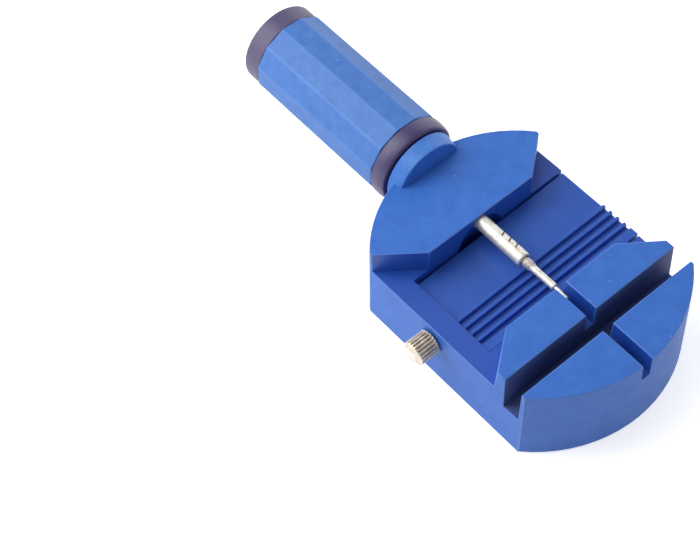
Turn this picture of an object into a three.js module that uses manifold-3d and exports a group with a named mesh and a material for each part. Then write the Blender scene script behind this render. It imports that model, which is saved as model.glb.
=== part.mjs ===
// Watch link remover: a bench tool that pushes the pins out of a metal watch band.
// The band lies on the ribbed tray between the head and the jaw. Screwing the handle in
// drives the ejector pin against the band's pin, and the pin leaves through the jaw's slot.
//
// Frame: millimetres, +Z up, origin at the middle of the base's underside. +Y runs along
// the spindle towards the handle, and +X points to the open end of the tray's pocket.

import * as THREE from "three";
import { mergeVertices } from "three/addons/utils/BufferGeometryUtils.js";
import Module from "manifold-3d";

const wasm = await Module();
wasm.setup();

// Shared clearances
const fitGap = 0.3; // between pieces that rest against or slide on each other
const smallFitGap = 0.15; // round the small steel pieces and over the tray's nut
const overrun = 3; // how far a cutting solid passes the face that it opens

// Body: one moulding with a head, a jaw and the threaded neck that carries the handle
const bodyWidth = 40;
const bodyLength = 56.7;
const headEndRadius = 26;
const jawEndRadius = 27.2;
const bodyDraft = 0.3; // how far the walls lean out at the underside
const topHeight = 18.1;
const ledgeHeight = 13.1;
const pocketFloorHeight = 3.2;
const leftRimWidth = 4.1;
const headDepth = 16.25;
const headFaceWidth = 24.5;
const headCheekRun = 6.3;
const jawDepth = 21.1;
const jawFaceWidth = 25.7;
const jawCheekRun = 5.5;
const jawDraft = 0.4;
const bandSlotWidth = 3.9;
const bandSlotFloorWidth = 3.6;
const bandSlotFloorHeight = 9.8;
const rearJawBlockDepth = 7.75;
const pinSlotWidth = 2.3;
const pinSlotFloorWidth = 1.9;
const pinSlotFloorHeight = 13.4;

// Spindle line: the boss, the neck and its coarse rounded thread
const spindleHeight = 15.9;
const bossRadius = 7.6;
const bossFrontRadius = 7.1;
const bossLength = 2.85;
const neckLength = 17.6;
const threadRootRadius = 3.15;
const threadCrestRadius = 4.85;
const threadPitch = 5.6;
const archRadius = 5.2;
const archFloorRadius = 4.5;
const archDepth = 1.5;
const archDrop = 1.85; // centre of the relief under the holder's hole, below the ledge

// Tray and the incline that it climbs
const trayDrop = 1.55; // from the ledge down to the tray's flat, at the closed end
const trayTopSlope = 0.0323; // the flat rises towards the open end
const ribHeight = 0.85; // above the flat
const ribRoot = 0.3; // below the flat
const trayBaseHeight = 6.0;
const trayPlate = 1.7;
const trayWall = 1.6;
const ribCount = 4;
const ribPitch = 1.72;
const ribWidth = 0.85;
const ribTopWidth = 0.6;
const frontBarWidth = 1.75;
const inclineSlope = 0.3; // rise over run
const trayTravel = 5; // along X, from lowest to highest
const rampLength = 12;
const rampWidth = 5;
const rampStartHeight = 0.7; // above the pocket floor
const rampInset = 1.4; // first ramp's low end, from the pocket's closed end
const rampPitch = 20.5;
const endArchHeight = 1.1;

// Height screw, its clip and the nut in the tray
const screwHeight = 9.6;
const screwSetback = 9.5; // screw axis, forward of the head's face
const screwRadius = 1.0;
const knobRadius = 2.45;
const knobLength = 4.2;
const knobToothDepth = 0.22;
const knobToothCount = 22;
const knobChamfer = 0.45;
const screwReach = 15.8; // shank length past the body's outer face
const clipRecessDepth = 1.6;
const clipRecessRadius = 2.3;
const clipRadius = 1.9;
const clipThickness = 0.8;
const clipGrooveRadius = 0.65;
const nutThickness = 2.0;
const nutWidth = 4.0;
const nutAbove = 1.35; // nut over the screw's axis
const nutBelow = 2.05;
const nutInset = 3.6; // nut's near face, from the tray's closed end
const nutWall = 1.5;

// Handle: a hollow twelve-sided grip with a ring in front and a cap behind
const handleLength = 39.35;
const gripSides = 12;
const gripCornerRadius = 8.55;
const gripTurn = -12; // degrees, of a corner from straight up
const gripSpigotRadius = 7.0;
const frontRingRadius = 8.4;
const frontRingFaceRadius = 8.1;
const frontRingLength = 3.0;
const frontRingLip = 1.0;
const trimChamfer = 0.4;
const endCapRadius = 8.15;
const endCapLength = 3.9;
const capPlugLength = 3.6;
const capPlugRadius = 5.3;
const gripThreadLength = 9;
const webThickness = 2.7;

// Steel holder, its tip and the ejector pin
const holderRadius = 1.4;
const pinEntry = 2.2; // how far the pin's end stands inside the jaw's slot
const holderCollarRadius = 2.6;
const holderCollarLength = 0.8;
const holderTail = 2.0; // past the grip's web
const holderMarkCount = 3;
const holderMarkPitch = 1.7;
const holderMarkSetback = 2.6; // first mark, from the holder's front end
const holderMarkWidth = 0.35;
const holderMarkDepth = 0.19;
const holderMarkTilt = 56; // degrees from level, towards the open side
const holderMarkSkew = 24; // degrees off square, forward at the top
const holderChamfer = 0.12;
const holderBoreDepth = 3;
const tipSocketRadius = 0.9;
const tipTailRadius = 0.7;
const tipThreadRadius = 0.95;
const tipThreadRoot = 0.76;
const tipThreadRidges = 4;
const tipThreadPitch = 0.42;
const tipRodRadius = 0.65;
const tipRodLength = 5.56;
const tipTaper = 0.25;
const pinRadius = 0.33;
const pinReach = 3.08; // pin past the rod's end
const pinSeatDepth = 1.8;

// Facets round a full turn
const arcSteps = 20;
const boreSides = 24;
const roundSides = 32;
const smallSides = 20;
const threadSides = 24;
const threadStepsPerTurn = 12;

// Places that follow from the sizes
const halfWidth = bodyWidth / 2;
const halfLength = bodyLength / 2;
const headFaceY = halfLength - headDepth;
const jawFaceY = jawDepth - halfLength;
const pocketLeftX = leftRimWidth - halfWidth;
const trayLeftX = pocketLeftX + fitGap;
const trayFrontY = jawFaceY + fitGap;
const trayBackY = headFaceY - fitGap;
const trayTopZ = ledgeHeight - trayDrop;
const trayRise = trayTopSlope * (halfWidth - trayLeftX);
const trayMiddleY = (trayFrontY + trayBackY) / 2;
const bandSlotRearY = jawFaceY - rearJawBlockDepth;
const bandSlotMiddleY = bandSlotRearY - bandSlotWidth / 2;
const screwY = headFaceY - screwSetback;
const neckEndY = halfLength + neckLength;
const handleFrontY = halfLength + wallLean(spindleHeight - frontRingRadius) + fitGap;
const handleBackY = handleFrontY + handleLength;
const gripFrontY = handleFrontY + frontRingLip + fitGap;
const gripShoulderY = handleFrontY + frontRingLength + fitGap;
const gripBackY = handleBackY - endCapLength - fitGap;
const gripBoreRadius = threadCrestRadius + fitGap + smallFitGap;
const collarFrontY = neckEndY + fitGap;
const webFrontY = collarFrontY + holderCollarLength + fitGap;
const webBackY = webFrontY + webThickness;
const cavityRadius = capPlugRadius + fitGap;
const pinEndY = jawFaceY - pinEntry;
const tipEndY = pinEndY + pinReach;
const tipThreadEndY = tipEndY + tipRodLength;
const tipThreadStartY = tipThreadEndY + tipThreadRidges * tipThreadPitch;
const holderFrontY = tipThreadStartY + fitGap;
const holderBackY = webBackY + fitGap + clipThickness + holderTail;
const holderHoleRadius = holderRadius + fitGap;
const nutNearX = trayLeftX + nutInset;
const clipNearX = pocketLeftX - clipRecessDepth + fitGap;
const trayLift = inclineSlope * trayTravel;

// How far the body's drafted wall stands out at a height, past its top edge.
function wallLean(height) {
  return bodyDraft * (1 - height / topHeight);
}

// A closed geometry as a solid that can be joined and cut.
function solid(geometry) {
  const bare = new THREE.BufferGeometry();
  bare.setAttribute("position", geometry.getAttribute("position"));
  if (geometry.index) bare.setIndex(geometry.index);
  const merged = mergeVertices(bare);
  return new wasm.Manifold(
    new wasm.Mesh({
      numProp: 3,
      vertProperties: new Float32Array(merged.getAttribute("position").array),
      triVerts: new Uint32Array(merged.index.array),
    }),
  );
}

// A solid's triangles as flat-shaded geometry.
function geometryOf(made) {
  const mesh = made.getMesh();
  const positions = new Float32Array(mesh.numVert * 3);
  for (let i = 0; i < mesh.numVert; i++) {
    const start = i * mesh.numProp;
    positions.set(mesh.vertProperties.subarray(start, start + 3), i * 3);
  }
  const geometry = new THREE.BufferGeometry();
  geometry.setAttribute("position", new THREE.BufferAttribute(positions, 3));
  geometry.setIndex(new THREE.BufferAttribute(mesh.triVerts, 1));
  const flat = geometry.toNonIndexed();
  flat.computeVertexNormals();
  return flat;
}

// Box between two opposite corners.
function box([x0, y0, z0], [x1, y1, z1]) {
  const geometry = new THREE.BoxGeometry(x1 - x0, y1 - y0, z1 - z0);
  geometry.translate((x0 + x1) / 2, (y0 + y1) / 2, (z0 + z1) / 2);
  return solid(geometry);
}

// Prism across Y, over an outline of [x, z] corners that run anticlockwise seen from -Y.
function crossPrism(corners, y0, y1) {
  const shape = new THREE.Shape(corners.map(([x, z]) => new THREE.Vector2(x, z)));
  const geometry = new THREE.ExtrudeGeometry(shape, { depth: y1 - y0, bevelEnabled: false });
  geometry.rotateX(Math.PI / 2);
  geometry.translate(0, y1, 0);
  return solid(geometry);
}

// Solid between two outlines with the same number of corners, so that walls can lean. Both
// ends are level, or rise by slope times the distance along X from the first corner.
function draftedPrism(lower, z0, upper, z1, slope = 0) {
  const count = lower.length;
  const startX = lower[0][0];
  const points = [
    ...lower.map(([x, y]) => [x, y, z0 + slope * (x - startX)]),
    ...upper.map(([x, y]) => [x, y, z1 + slope * (x - startX)]),
  ];
  const contour = lower.map(([x, y]) => new THREE.Vector2(x, y));
  const faces = [];
  for (const [a, b, c] of THREE.ShapeUtils.triangulateShape(contour, [])) {
    faces.push(c, b, a, a + count, b + count, c + count);
  }
  for (let i = 0; i < count; i++) {
    const next = (i + 1) % count;
    faces.push(i, next, next + count, i, next + count, i + count);
  }
  const geometry = new THREE.BufferGeometry();
  geometry.setAttribute("position", new THREE.Float32BufferAttribute(points.flat(), 3));
  geometry.setIndex(faces);
  return solid(geometry);
}

// Turned solid about a line along Y, the spindle's unless another height is given. Profile
// points are [radius, y], with y rising.
function turnedY(profile, sides, height = spindleHeight, turn = 0) {
  const points = profile.map(([r, y]) => new THREE.Vector2(r, y));
  const geometry = new THREE.LatheGeometry(points, sides);
  geometry.rotateY(THREE.MathUtils.degToRad(turn));
  geometry.translate(0, 0, height);
  return solid(geometry);
}

// Round rod or bore along Y on the spindle line.
function rodY(radius, y0, y1, sides) {
  return turnedY(
    [
      [0, y0],
      [radius, y0],
      [radius, y1],
      [0, y1],
    ],
    sides,
  );
}

// Turned solid about the height screw's line. Profile points are [radius, x], with x rising.
function turnedX(profile, sides) {
  const points = profile.map(([r, x]) => new THREE.Vector2(r, x));
  const geometry = new THREE.LatheGeometry(points, sides);
  geometry.rotateZ(-Math.PI / 2);
  geometry.translate(0, screwY, screwHeight);
  return solid(geometry);
}

function rodX(radius, x0, x1, sides) {
  return turnedX(
    [
      [0, x0],
      [radius, x0],
      [radius, x1],
      [0, x1],
    ],
    sides,
  );
}

// Coarse right-hand thread about the spindle line: the radius is a sine of the angle
// round the line less a full turn for each pitch along it. The thread fades to its root
// over the last fadeLength, and extra is added to every radius.
function coarseThread(y0, y1, extra, fadeLength) {
  const mean = (threadRootRadius + threadCrestRadius) / 2;
  const swing = (threadCrestRadius - threadRootRadius) / 2;
  const rings = Math.ceil(((y1 - y0) / threadPitch) * threadStepsPerTurn);
  const points = [];
  for (let ring = 0; ring <= rings; ring++) {
    const y = y0 + ((y1 - y0) * ring) / rings;
    const fade = fadeLength > 0 ? Math.min(1, (y1 - y) / fadeLength) : 1;
    for (let side = 0; side < threadSides; side++) {
      const turn = (2 * Math.PI * side) / threadSides;
      const wave = Math.cos(turn - (2 * Math.PI * (y - halfLength)) / threadPitch);
      const crest = mean + swing * wave;
      const radius = threadRootRadius + (crest - threadRootRadius) * fade + extra;
      points.push([radius * Math.sin(turn), y, spindleHeight + radius * Math.cos(turn)]);
    }
  }
  const lowCentre = points.push([0, y0, spindleHeight]) - 1;
  const highCentre = points.push([0, y1, spindleHeight]) - 1;
  const lastRing = rings * threadSides;
  const faces = [];
  for (let side = 0; side < threadSides; side++) {
    const next = (side + 1) % threadSides;
    for (let ring = 0; ring < rings; ring++) {
      const a = ring * threadSides + side;
      const b = ring * threadSides + next;
      faces.push(a, b, b + threadSides, a, b + threadSides, a + threadSides);
    }
    faces.push(lowCentre, next, side);
    faces.push(highCentre, lastRing + side, lastRing + next);
  }
  const geometry = new THREE.BufferGeometry();
  geometry.setAttribute("position", new THREE.Float32BufferAttribute(points.flat(), 3));
  geometry.setIndex(faces);
  return solid(geometry);
}

// Outline of the whole body, moved out by a draft: straight sides and an arc across each end.
function bodyOutline(draft) {
  const corners = [];
  for (const [end, radius] of [
    [-1, jawEndRadius],
    [1, headEndRadius],
  ]) {
    const half = Math.asin((halfWidth + draft) / (radius + draft));
    for (let i = 0; i <= arcSteps; i++) {
      const turn = (end * Math.PI) / 2 + half * ((2 * i) / arcSteps - 1);
      const x = (radius + draft) * Math.cos(turn);
      const y = end * (halfLength - radius) + (radius + draft) * Math.sin(turn);
      corners.push([x, y]);
    }
  }
  return corners;
}

// The open space above the ledge, from the head's face and cut corners to the jaw's.
function bandSpace() {
  const wide = halfWidth + overrun;
  const level = (draft) => [
    [-wide, jawFaceY - jawCheekRun - draft],
    [-halfWidth, jawFaceY - jawCheekRun - draft],
    [-jawFaceWidth / 2, jawFaceY - draft],
    [jawFaceWidth / 2, jawFaceY - draft],
    [halfWidth, jawFaceY - jawCheekRun - draft],
    [wide, jawFaceY - jawCheekRun - draft],
    [wide, headFaceY + headCheekRun],
    [halfWidth, headFaceY + headCheekRun],
    [headFaceWidth / 2, headFaceY],
    [-headFaceWidth / 2, headFaceY],
    [-halfWidth, headFaceY + headCheekRun],
    [-wide, headFaceY + headCheekRun],
  ];
  const draftPerHeight = jawDraft / (topHeight - ledgeHeight);
  const top = topHeight + overrun;
  return draftedPrism(level(0), ledgeHeight, level(draftPerHeight * (top - ledgeHeight)), top);
}

// A slot that narrows towards its floor. Along X it takes the band, along Y the pin.
function taperedSlot(along, middle, topWidth, floorWidth, floorZ, from, to) {
  const taper = (topWidth - floorWidth) / (topHeight - floorZ);
  const highZ = topHeight + overrun;
  const corners = (width) =>
    along === "x"
      ? [
          [from, middle - width / 2],
          [to, middle - width / 2],
          [to, middle + width / 2],
          [from, middle + width / 2],
        ]
      : [
          [middle - width / 2, from],
          [middle + width / 2, from],
          [middle + width / 2, to],
          [middle - width / 2, to],
        ];
  const highWidth = floorWidth + taper * (highZ - floorZ);
  return draftedPrism(corners(floorWidth), floorZ, corners(highWidth), highZ);
}

// Corners, in X and Z, of the ramp that starts at startX, raised by lift and drawn out
// by extra at both ends along the incline.
function rampCorners(startX, lift, extra) {
  const lowZ = pocketFloorHeight + rampStartHeight + lift;
  const bottomZ = pocketFloorHeight - overrun;
  return [
    [startX - extra, bottomZ],
    [startX + rampLength + fitGap * Math.sign(extra), bottomZ],
    [
      startX + rampLength + fitGap * Math.sign(extra),
      lowZ + inclineSlope * (rampLength + fitGap * Math.sign(extra)),
    ],
    [startX - extra, lowZ - inclineSlope * extra],
  ];
}

const rampStarts = [0, rampPitch].map((step) => pocketLeftX + rampInset + step);

// The body: plan, recess, slots, pocket, ramps, boss, threaded neck and bores.
function makeBody() {
  const block = draftedPrism(bodyOutline(bodyDraft), 0, bodyOutline(0), topHeight);
  const bossEndY = halfLength + wallLean(spindleHeight - bossRadius);
  const boss = turnedY(
    [
      [0, halfLength - bossLength],
      [bossFrontRadius, halfLength - bossLength],
      [bossRadius, bossEndY],
      [0, bossEndY],
    ],
    roundSides,
  );
  const wide = halfWidth + overrun;
  const pocket = box(
    [pocketLeftX, jawFaceY, pocketFloorHeight],
    [wide, headFaceY, ledgeHeight + overrun],
  );
  const bandSlot = taperedSlot(
    "x",
    bandSlotMiddleY,
    bandSlotWidth,
    bandSlotFloorWidth,
    bandSlotFloorHeight,
    -wide,
    wide,
  );
  const pinSlot = taperedSlot(
    "y",
    0,
    pinSlotWidth,
    pinSlotFloorWidth,
    pinSlotFloorHeight,
    -halfLength - overrun,
    jawFaceY + fitGap,
  );
  const arch = turnedY(
    [
      [0, headFaceY - overrun],
      [archRadius, headFaceY - overrun],
      [archRadius, headFaceY],
      [archFloorRadius, headFaceY + archDepth],
      [0, headFaceY + archDepth],
    ],
    roundSides,
    ledgeHeight - archDrop,
  );
  const clipRecess = rodX(
    clipRecessRadius,
    pocketLeftX - clipRecessDepth,
    pocketLeftX + overrun,
    boreSides,
  );
  const screwHole = rodX(screwRadius + smallFitGap, -wide, pocketLeftX + overrun, boreSides);
  const neck = coarseThread(halfLength - bossLength / 2, neckEndY, 0, threadPitch / 2);
  const holderBore = rodY(holderHoleRadius, jawFaceY + fitGap, neckEndY + overrun, boreSides);
  let body = block.subtract(bandSpace());
  body = body.subtract(pocket);
  body = body.subtract(bandSlot);
  body = body.subtract(pinSlot);
  body = body.subtract(arch);
  body = body.subtract(clipRecess);
  body = body.subtract(screwHole);
  for (const startX of rampStarts) {
    const ramp = crossPrism(
      rampCorners(startX, 0, 0),
      trayMiddleY - rampWidth / 2,
      trayMiddleY + rampWidth / 2,
    );
    const aboveBase = box(
      [-halfWidth, jawFaceY, pocketFloorHeight / 2],
      [halfWidth, headFaceY, topHeight],
    );
    body = body.add(ramp.intersect(aboveBase));
  }
  return body.add(boss).add(neck).subtract(holderBore);
}

// Corners, in X and Z, of a bar along the tray whose top rises with the tray's flat.
function risingCorners(bottomZ, leftTopZ) {
  return [
    [trayLeftX, bottomZ],
    [halfWidth, bottomZ],
    [halfWidth, leftTopZ + trayRise],
    [trayLeftX, leftTopZ],
  ];
}

// The tray: a plate with ribs, a skirt, a housing for its nut and two sloped shoes.
function makeTray() {
  const walls = crossPrism(risingCorners(trayBaseHeight, trayTopZ), trayFrontY, trayBackY);
  const plateUnderZ = trayTopZ - trayPlate;
  const shoeHalf = rampWidth / 2 + trayWall;
  const housingHalf = nutWidth / 2 + fitGap + trayWall;
  const housingRightX = nutNearX + nutThickness + fitGap + nutWall;
  const housingFrontY = Math.min(screwY - housingHalf, trayMiddleY - shoeHalf);
  const housingBackY = Math.max(screwY + housingHalf, trayMiddleY + shoeHalf);
  const cavityRanges = [
    [trayFrontY + trayWall, housingFrontY],
    [housingBackY, trayBackY - trayWall],
  ];
  const middleX = (housingRightX + halfWidth) / 2;
  const cavitySpans = [
    [trayLeftX + trayWall, housingRightX],
    [housingRightX + trayWall, middleX - trayWall / 2],
    [middleX + trayWall / 2, halfWidth - trayWall],
  ];
  let tray = walls;
  for (const [y0, y1] of cavityRanges) {
    for (const [x0, x1] of cavitySpans) {
      tray = tray.subtract(box([x0, y0, trayBaseHeight - overrun], [x1, y1, plateUnderZ]));
    }
    const archWide = (y1 - y0) / 2;
    const archOutline = new THREE.Shape();
    archOutline.absellipse(0, 0, archWide, endArchHeight, 0, Math.PI, false, 0);
    archOutline.closePath();
    const endArch = new THREE.ExtrudeGeometry(archOutline, {
      depth: trayWall + overrun,
      bevelEnabled: false,
      curveSegments: arcSteps,
    });
    endArch.rotateX(Math.PI / 2);
    endArch.rotateZ(Math.PI / 2);
    endArch.translate(halfWidth - trayWall, (y0 + y1) / 2, trayBaseHeight);
    tray = tray.subtract(solid(endArch));
  }
  const secondStart = rampStarts[1];
  const centralHalf = rampWidth / 2 + fitGap;
  for (const [x0, x1] of [
    [screwReach - halfWidth + fitGap + trayWall, secondStart - trayWall],
    [secondStart + rampLength / 2 + trayWall, halfWidth - trayWall],
  ]) {
    tray = tray.subtract(
      box(
        [x0, trayMiddleY - centralHalf, trayBaseHeight - overrun],
        [x1, trayMiddleY + centralHalf, plateUnderZ],
      ),
    );
  }
  for (const startX of rampStarts) {
    const shoe = box(
      [startX, trayMiddleY - rampWidth / 2, pocketFloorHeight + rampStartHeight + fitGap],
      [startX + rampLength / 2, trayMiddleY + rampWidth / 2, trayBaseHeight + trayWall],
    );
    tray = tray.add(shoe);
  }
  const rampRoom = rampWidth / 2 + fitGap;
  for (const startX of rampStarts) {
    tray = tray.subtract(
      crossPrism(
        rampCorners(startX, fitGap, trayTravel),
        trayMiddleY - rampRoom,
        trayMiddleY + rampRoom,
      ),
    );
  }
  const nutRoom = nutWidth / 2 + fitGap;
  tray = tray.subtract(
    box(
      [nutNearX - fitGap, screwY - nutRoom, pocketFloorHeight],
      [
        nutNearX + nutThickness + fitGap,
        screwY + nutRoom,
        screwHeight + nutAbove + smallFitGap,
      ],
    ),
  );
  const shankRoom = screwRadius + fitGap;
  tray = tray.subtract(
    box(
      [trayLeftX - overrun, screwY - shankRoom, pocketFloorHeight],
      [screwReach - halfWidth + fitGap, screwY + shankRoom, screwHeight + shankRoom],
    ),
  );
  const barY = trayFrontY + frontBarWidth;
  const frontBar = risingCorners(trayTopZ - ribRoot, trayTopZ + ribHeight);
  tray = tray.add(crossPrism(frontBar, trayFrontY, barY));
  for (let i = 1; i <= ribCount; i++) {
    const middle = barY + i * ribPitch - ribWidth / 2;
    const foot = middle - ribWidth / 2;
    const rib = draftedPrism(
      [
        [trayLeftX, foot],
        [halfWidth, foot],
        [halfWidth, foot + ribWidth],
        [trayLeftX, foot + ribWidth],
      ],
      trayTopZ - ribRoot,
      [
        [trayLeftX, middle - ribTopWidth / 2],
        [halfWidth, middle - ribTopWidth / 2],
        [halfWidth, middle + ribTopWidth / 2],
        [trayLeftX, middle + ribTopWidth / 2],
      ],
      trayTopZ + ribHeight,
      trayTopSlope,
    );
    tray = tray.add(rib);
  }
  return tray;
}

// The height screw: a knurled knob outside the wall, a plain shank and the clip's groove.
function makeHeightScrew() {
  const innerX = -halfWidth - wallLean(screwHeight - knobRadius) - fitGap;
  const outerX = innerX - knobLength;
  const teeth = new THREE.Shape();
  const corners = 2 * knobToothCount;
  for (let i = 0; i < corners; i++) {
    const turn = (2 * Math.PI * i) / corners;
    const radius = knobRadius - (i % 2) * knobToothDepth;
    const x = radius * Math.cos(turn);
    const y = radius * Math.sin(turn);
    if (i === 0) teeth.moveTo(x, y);
    else teeth.lineTo(x, y);
  }
  teeth.closePath();
  const knurl = new THREE.ExtrudeGeometry(teeth, { depth: knobLength, bevelEnabled: false });
  knurl.rotateY(Math.PI / 2);
  knurl.translate(outerX, screwY, screwHeight);
  const blank = turnedX(
    [
      [0, outerX],
      [knobRadius - knobChamfer, outerX],
      [knobRadius, outerX + knobChamfer],
      [knobRadius, innerX - knobChamfer / 2],
      [knobRadius - knobChamfer / 2, innerX],
      [0, innerX],
    ],
    2 * knobToothCount,
  );
  const shankEndX = screwReach - halfWidth;
  const shank = turnedX(
    [
      [0, innerX - knobChamfer],
      [screwRadius, innerX - knobChamfer],
      [screwRadius, clipNearX - smallFitGap],
      [clipGrooveRadius, clipNearX - smallFitGap],
      [clipGrooveRadius, clipNearX + clipThickness + smallFitGap],
      [screwRadius, clipNearX + clipThickness + smallFitGap],
      [screwRadius, shankEndX - knobChamfer],
      [screwRadius - knobChamfer, shankEndX],
      [0, shankEndX],
    ],
    smallSides,
  );
  return solid(knurl).intersect(blank).add(shank);
}

// Spring clip in the screw's groove, sunk in the wall's inner recess.
function makeScrewClip() {
  const disc = rodX(clipRadius, clipNearX, clipNearX + clipThickness, smallSides);
  const seat = clipGrooveRadius + smallFitGap;
  const hole = rodX(seat, clipNearX - overrun, clipNearX + overrun, smallSides);
  const mouth = box(
    [clipNearX - overrun, screwY - seat, screwHeight - clipRadius - overrun],
    [clipNearX + overrun, screwY + seat, screwHeight],
  );
  return disc.subtract(hole).subtract(mouth);
}

// Brass nut that the tray carries along the screw.
function makeTrayNut() {
  const block = box(
    [nutNearX, screwY - nutWidth / 2, screwHeight - nutBelow],
    [nutNearX + nutThickness, screwY + nutWidth / 2, screwHeight + nutAbove],
  );
  const hole = rodX(
    screwRadius + smallFitGap,
    nutNearX - overrun,
    nutNearX + nutThickness + overrun,
    smallSides,
  );
  return block.subtract(hole);
}

// Twelve-sided grip, threaded inside its mouth, with a web that holds the steel holder.
function makeGrip() {
  const flats = turnedY(
    [
      [0, gripShoulderY],
      [gripCornerRadius, gripShoulderY],
      [gripCornerRadius, gripBackY],
      [0, gripBackY],
    ],
    gripSides,
    spindleHeight,
    gripTurn,
  );
  const spigot = rodY(gripSpigotRadius, gripFrontY, gripShoulderY + overrun, roundSides);
  const thread = coarseThread(
    gripFrontY - overrun,
    gripFrontY + gripThreadLength,
    fitGap,
    0,
  );
  const bore = rodY(gripBoreRadius, gripFrontY + gripThreadLength, webFrontY, boreSides);
  const hole = rodY(holderHoleRadius, webFrontY - overrun, webBackY + overrun, smallSides);
  const cavity = rodY(cavityRadius, webBackY, gripBackY + overrun, boreSides);
  return flats.add(spigot).subtract(thread).subtract(bore).subtract(hole).subtract(cavity);
}

// Purple ring over the grip's front spigot, with a lip across the grip's end.
function makeFrontRing() {
  const backY = handleFrontY + frontRingLength;
  return turnedY(
    [
      [gripBoreRadius, handleFrontY],
      [frontRingFaceRadius, handleFrontY],
      [frontRingRadius, handleFrontY + frontRingLip],
      [frontRingRadius, backY],
      [gripSpigotRadius + fitGap, backY],
      [gripSpigotRadius + fitGap, handleFrontY + frontRingLip],
      [gripBoreRadius, handleFrontY + frontRingLip],
      [gripBoreRadius, handleFrontY],
    ],
    roundSides,
  );
}

// Purple cap with a plug that fills the mouth of the grip's rear cavity.
function makeEndCap() {
  const rimY = handleBackY - endCapLength;
  return turnedY(
    [
      [0, rimY - capPlugLength],
      [capPlugRadius - trimChamfer, rimY - capPlugLength],
      [capPlugRadius, rimY - capPlugLength + trimChamfer],
      [capPlugRadius, rimY],
      [endCapRadius, rimY],
      [endCapRadius, handleBackY - trimChamfer],
      [endCapRadius - trimChamfer, handleBackY],
      [0, handleBackY],
    ],
    roundSides,
  );
}

// Steel holder: a long rod with a collar in front of the web, a groove for its clip
// behind it, short marks on one side near its front end and a socket for the tip.
function makeHolder() {
  const clipY = webBackY + fitGap;
  const profile = [
    [0, holderFrontY + holderBoreDepth],
    [tipSocketRadius, holderFrontY + holderBoreDepth],
    [tipSocketRadius, holderFrontY],
    [holderRadius - holderChamfer, holderFrontY],
    [holderRadius, holderFrontY + holderChamfer],
  ];
  const clipEnd = clipY + clipThickness + smallFitGap;
  profile.push([holderRadius, collarFrontY]);
  profile.push([holderCollarRadius, collarFrontY]);
  profile.push([holderCollarRadius, collarFrontY + holderCollarLength]);
  profile.push([holderRadius, collarFrontY + holderCollarLength]);
  profile.push([holderRadius, clipY - smallFitGap]);
  profile.push([clipGrooveRadius, clipY - smallFitGap]);
  profile.push([clipGrooveRadius, clipEnd]);
  profile.push([holderRadius, clipEnd]);
  profile.push([holderRadius, holderBackY]);
  profile.push([0, holderBackY]);
  let holder = turnedY(profile, boreSides);
  for (let i = 0; i < holderMarkCount; i++) {
    const y = holderFrontY + holderMarkSetback + i * holderMarkPitch;
    const geometry = new THREE.BoxGeometry(holderRadius, holderMarkWidth, 2 * holderRadius);
    geometry.rotateX(THREE.MathUtils.degToRad(holderMarkSkew));
    geometry.translate(holderRadius - holderMarkDepth + holderRadius / 2, y, 0);
    geometry.rotateY(-THREE.MathUtils.degToRad(holderMarkTilt));
    geometry.translate(0, 0, spindleHeight);
    holder = holder.subtract(solid(geometry));
  }
  return holder;
}

// Clip behind the grip's web that keeps the holder in the handle.
function makeHolderClip() {
  const clipY = webBackY + fitGap;
  const seat = clipGrooveRadius + smallFitGap;
  const disc = rodY(holderCollarRadius, clipY, clipY + clipThickness, smallSides);
  const hole = rodY(seat, clipY - overrun, clipY + overrun, smallSides);
  const mouth = box(
    [-seat, clipY - overrun, spindleHeight - holderCollarRadius - overrun],
    [seat, clipY + overrun, spindleHeight],
  );
  return disc.subtract(hole).subtract(mouth);
}

// Tip that screws into the holder: tail, ridged thread and a thin rod bored for the pin.
function makeTip() {
  const profile = [
    [0, tipEndY + pinSeatDepth],
    [pinRadius + smallFitGap, tipEndY + pinSeatDepth],
    [pinRadius + smallFitGap, tipEndY],
    [tipRodRadius - smallFitGap / 2, tipEndY],
    [tipRodRadius, tipEndY + tipTaper],
    [tipRodRadius, tipThreadEndY - tipTaper],
  ];
  for (let i = tipThreadRidges; i > 0; i--) {
    const y = tipThreadStartY - i * tipThreadPitch;
    profile.push([tipThreadRoot, y]);
    profile.push([tipThreadRadius, y + tipThreadPitch / 2]);
  }
  profile.push([tipThreadRoot, tipThreadStartY]);
  profile.push([tipTailRadius, tipThreadStartY]);
  profile.push([tipTailRadius, holderFrontY + holderBoreDepth - fitGap]);
  profile.push([0, holderFrontY + holderBoreDepth - fitGap]);
  return turnedY(profile, smallSides);
}

// Hardened wire that pushes the band's pin.
function makeEjectorPin() {
  const startY = tipEndY + pinSeatDepth - fitGap;
  return turnedY(
    [
      [0, pinEndY],
      [pinRadius / 2, pinEndY],
      [pinRadius, pinEndY + pinRadius / 2],
      [pinRadius, startY],
      [0, startY],
    ],
    smallSides,
  );
}

// Materials
const bluePlastic = new THREE.MeshStandardMaterial({ color: "#3f70c6", roughness: 0.5 });
const trayPlastic = new THREE.MeshStandardMaterial({ color: "#3458b4", roughness: 0.5 });
const purplePlastic = new THREE.MeshStandardMaterial({ color: "#43325a", roughness: 0.4 });
const nickel = new THREE.MeshStandardMaterial({
  color: "#c9c3b4",
  roughness: 0.3,
  metalness: 1,
});
const steel = new THREE.MeshStandardMaterial({ color: "#dcdad2", roughness: 0.25, metalness: 1 });
const brass = new THREE.MeshStandardMaterial({ color: "#b99b4e", roughness: 0.4, metalness: 1 });

function part(name, made, material) {
  const mesh = new THREE.Mesh(geometryOf(made), material);
  mesh.name = name;
  return mesh;
}

// Base with what stays in it, the tray with its screw, and the handle with its pin.
const base = new THREE.Group();
base.add(part("body", makeBody(), bluePlastic));

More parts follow.
